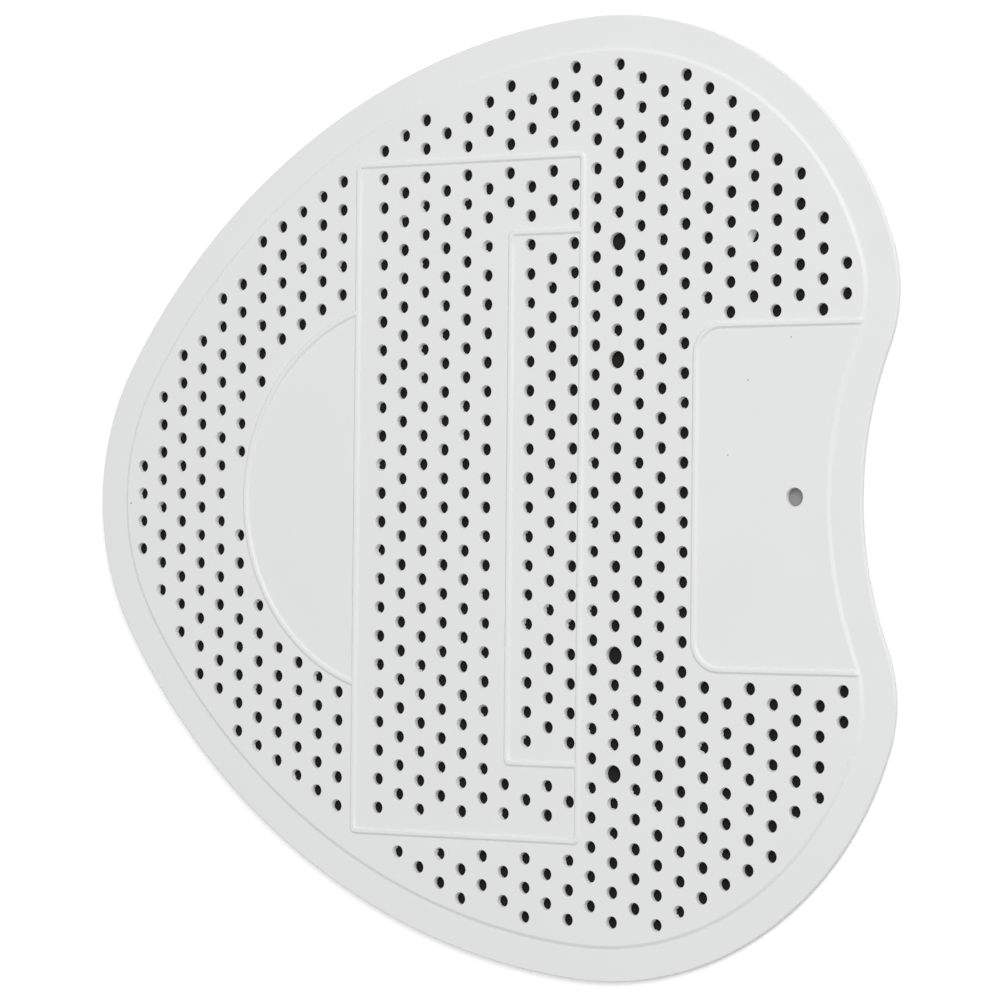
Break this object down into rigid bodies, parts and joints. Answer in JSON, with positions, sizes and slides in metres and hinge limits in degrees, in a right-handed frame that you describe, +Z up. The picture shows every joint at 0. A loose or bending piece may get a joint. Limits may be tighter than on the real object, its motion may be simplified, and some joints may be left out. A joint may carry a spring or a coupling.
{
  "type": "urinal deodorizer screen",
  "caption": "Thin white vinyl urinal mat with a kidney outline, a plain border, staggered round drain holes, low framing beads and a hanging hole.",
  "frame": {"origin": "middle of the footprint, on the plane that the mat lies on", "axes": "+X from the rounded nose towards the cleft between the two lobes, +Y along the longer side of the beaded rectangle, +Z up out of the beaded face"},
  "size_m": [0.2054, 0.2076, 0.0019],
  "materials": {
    "vinyl": "satin white soft vinyl, moulded"
  },
  "bodies": {
    "root": {"screen": "vinyl"}
  },
  "joints": []
}
